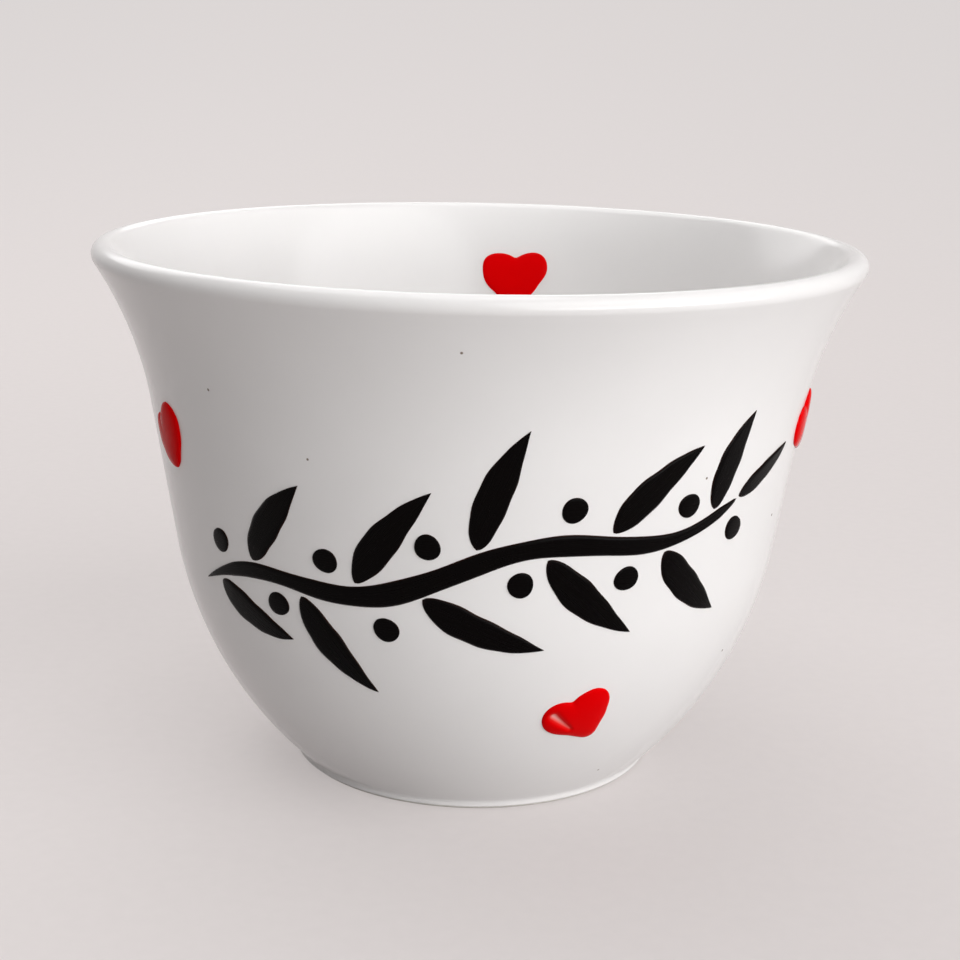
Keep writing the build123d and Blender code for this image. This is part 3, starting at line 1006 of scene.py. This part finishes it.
class CUP_OT_dot_berries(bpy.types.Operator):
    """Dot one berry with the tip of the brush opposite each leaf"""

    bl_idname = "coffee_cup.dot_berries"
    bl_label = "Dot Berries"

    def execute(self, context):
        sprig = context.scene.sprig_shape
        stem = SprigLine(context.scene)
        berries = []
        for index, (root, side) in enumerate(stem.roots()):
            piece = start_piece(
                bpy.ops.mesh.primitive_circle_add, vertices=BERRY_POINTS, radius=sprig.berry_diameter / 2,
                fill_type="NGON", calc_uvs=True,
            )
            for vertex in piece.data.vertices:
                turn = math.atan2(vertex.co.y, vertex.co.x)
                vertex.co *= 1 + waver(turn, (0.04, 2, index), (0.02, 3, 2.3 * index))
            swell(piece, sprig.thickness, BERRY_RINGS, BERRY_FULLNESS)
            map_strokes(piece)
            note_depth(piece, sprig.thickness)
            aside = stem.half_width(root) + sprig.berry_gap + sprig.berry_diameter / 2
            lay_flat_piece(piece, stem.profile, *stem.beside(root, sprig.berry_lead, -side * aside))
            berries.append(piece)
        bpy.ops.object.select_all(action="DESELECT")
        for piece in berries:
            piece.select_set(True)
        bpy.ops.object.join()
        piece = context.view_layer.objects.active
        bpy.ops.object.shade_smooth()
        material = bpy.data.materials["brushed_black_enamel"]
        hand_over(piece, "brushed_berries", material, "black_enamel", "sprig_berries")
        return {"FINISHED"}


SWEEP_SIZE = 4.0
SWEEP_BEHIND = 0.8  # from the cup to where the paper is hung up behind it
SWEEP_HEIGHT = 2.0
SWEEP_BEND = 0.5
AIR_STRENGTH = 0.22
# Azimuth and elevation of each lamp from the cup in degrees, its distance, width and height in
# metres, and its power in watts
LAMPS = {
    "key": (41.0, 26.0, 1.20, 1.60, 1.60, 10.4),
    "low": (50.0, 2.0, 1.00, 1.50, 0.26, 5.8),
    "top": (-130.0, 76.0, 0.80, 0.70, 0.70, 2.4),
    "back": (-160.0, 35.0, 0.65, 0.80, 0.40, 1.2),
}
CAMERA_BACK = 165.39 * MM
CAMERA_HEIGHT = 68.35 * MM
CAMERA_TURNS = (14.353, 0.136, 1.127)  # in degrees: down, right, and about its line of sight
CAMERA_LENS = 67.5


def hang_paper(finish):
    """Lay paper under the cup and hang it up behind, with a wide bend."""
    middle = SWEEP_BEHIND - SWEEP_SIZE / 2
    sweep = start_piece(bpy.ops.mesh.primitive_plane_add, size=SWEEP_SIZE, location=(0, middle, 0))
    bpy.ops.object.transform_apply(location=True)
    bpy.ops.object.mode_set(mode="EDIT")
    bpy.ops.mesh.select_all(action="DESELECT")
    bpy.ops.mesh.select_mode(type="EDGE")
    bpy.ops.object.mode_set(mode="OBJECT")
    for edge in sweep.data.edges:
        edge.select = all(sweep.data.vertices[end].co.y > middle for end in edge.vertices)
    bpy.ops.object.mode_set(mode="EDIT")
    bpy.ops.mesh.extrude_region_move(TRANSFORM_OT_translate={"value": (0, 0, SWEEP_HEIGHT)})
    bpy.ops.object.mode_set(mode="OBJECT")
    for edge in sweep.data.edges:
        ends = [sweep.data.vertices[end].co for end in edge.vertices]
        edge.select = all(end.y > middle and end.z < MM for end in ends)
    bpy.ops.object.mode_set(mode="EDIT")
    bpy.ops.mesh.bevel(offset=SWEEP_BEND, segments=24)
    bpy.ops.object.mode_set(mode="OBJECT")
    bpy.ops.object.shade_smooth()
    sweep.name = "paper_sweep"
    sweep.data.materials.append(paper_sweep(finish))


def hang_lamps():
    """Hang the soft lamps round the cup, each turned to its middle."""
    target = Vector((0, 0, glaze_high.z / 2))
    for name, (azimuth, elevation, distance, wide, tall, power) in LAMPS.items():
        level = math.cos(math.radians(elevation))
        away = Vector((
            math.sin(math.radians(azimuth)) * level,
            -math.cos(math.radians(azimuth)) * level,
            math.sin(math.radians(elevation)),
        ))
        bpy.ops.object.light_add(type="AREA", location=target + away * distance)
        lamp = bpy.context.object
        lamp.name = f"{name}_lamp"
        lamp.rotation_euler = away.to_track_quat("Z", "Y").to_euler()
        lamp.data.shape = "ELLIPSE"
        lamp.data.size = wide
        lamp.data.size_y = tall
        lamp.data.energy = power


def studio_air(finish):
    """White air that lights the cup evenly, and that the camera sees as the backdrop."""
    world = bpy.data.worlds.new("studio_air")
    tree = new_tree(world)
    air = add_node(
        tree, "ShaderNodeBackground", {}, {"Color": linear("#FFFFFF"), "Strength": AIR_STRENGTH}
    )
    backdrop = add_node(
        tree, "ShaderNodeBackground", {}, {"Color": tuple(finish.backdrop), "Strength": 1.0}
    )
    shown = add_node(
        tree, "ShaderNodeMixShader", {},
        {0: looked_at(tree), 1: air.outputs["Background"], 2: backdrop.outputs["Background"]},
    )
    add_node(tree, "ShaderNodeOutputWorld", {}, {"Surface": shown.outputs["Shader"]})
    return world


def stand_camera():
    """Stand the camera in front of the cup, a little above it."""
    pitch, yaw, roll = (math.radians(turn) for turn in CAMERA_TURNS)
    forward = Vector((
        math.sin(yaw) * math.cos(pitch), math.cos(yaw) * math.cos(pitch), -math.sin(pitch)
    ))
    right = forward.cross(Vector((0, 0, 1))).normalized()
    up = right.cross(forward)
    level = Matrix((right, up, -forward)).transposed()
    bpy.ops.object.camera_add(location=(0, -CAMERA_BACK, CAMERA_HEIGHT))
    camera = bpy.context.object
    camera.name = "photo_camera"
    camera.rotation_euler = (level @ Matrix.Rotation(roll, 3, "Z")).to_euler()
    camera.data.lens = CAMERA_LENS
    camera.data.sensor_width = 36.0
    camera.data.clip_start = 0.01
    return camera


class CUP_OT_set_studio(bpy.types.Operator):
    """Set the cup on pale paper under soft light, mostly from the right, with the camera in front"""

    bl_idname = "coffee_cup.set_studio"
    bl_label = "Set Studio"

    def execute(self, context):
        scene = context.scene
        hang_paper(scene.cup_finish)
        hang_lamps()
        scene.world = studio_air(scene.cup_finish)
        scene.camera = stand_camera()
        scene.view_settings.view_transform = "Standard"
        return {"FINISHED"}


class CUP_PT_sidebar(bpy.types.Panel):
    """Steps and sizes of the coffee cup"""

    bl_idname = "CUP_PT_sidebar"
    bl_label = "Coffee Cup"
    bl_space_type = "VIEW_3D"
    bl_region_type = "UI"
    bl_category = "Coffee Cup"

    def draw(self, context):
        column = self.layout.column()
        for operator in OPERATORS:
            column.operator(operator.bl_idname)
        for group in GROUPS:
            settings = getattr(context.scene, group)
            box = self.layout.box()
            box.label(text=settings.__class__.__doc__.split(".")[0])
            for name in settings.__annotations__:
                box.prop(settings, name)


OPERATORS = (
    CUP_OT_throw_porcelain,
    CUP_OT_dip_glaze,
    CUP_OT_drop_hearts,
    CUP_OT_brush_stem,
    CUP_OT_brush_leaves,
    CUP_OT_dot_berries,
    CUP_OT_set_studio,
)
GROUPS = {
    "cup_shape": CupShape,
    "heart_shape": HeartShape,
    "sprig_shape": SprigShape,
    "cup_finish": CupFinish,
}


def register():
    """Add the settings, the operators and the panel to Blender."""
    for name, group in GROUPS.items():
        bpy.utils.register_class(group)
        setattr(bpy.types.Scene, name, bpy.props.PointerProperty(type=group))
    for operator in OPERATORS:
        bpy.utils.register_class(operator)
    bpy.utils.register_class(CUP_PT_sidebar)


def unregister():
    """Take them out again."""
    bpy.utils.unregister_class(CUP_PT_sidebar)
    for operator in reversed(OPERATORS):
        bpy.utils.unregister_class(operator)
    for name, group in reversed(GROUPS.items()):
        delattr(bpy.types.Scene, name)
        bpy.utils.unregister_class(group)


def main():
    """Make the cup and its studio."""
    register()
    bpy.ops.coffee_cup.throw_porcelain()
    bpy.ops.coffee_cup.dip_glaze()
    bpy.ops.coffee_cup.drop_hearts()
    bpy.ops.coffee_cup.brush_stem()
    bpy.ops.coffee_cup.brush_leaves()
    bpy.ops.coffee_cup.dot_berries()
    bpy.ops.coffee_cup.set_studio()


if __name__ == "__main__":
    main()
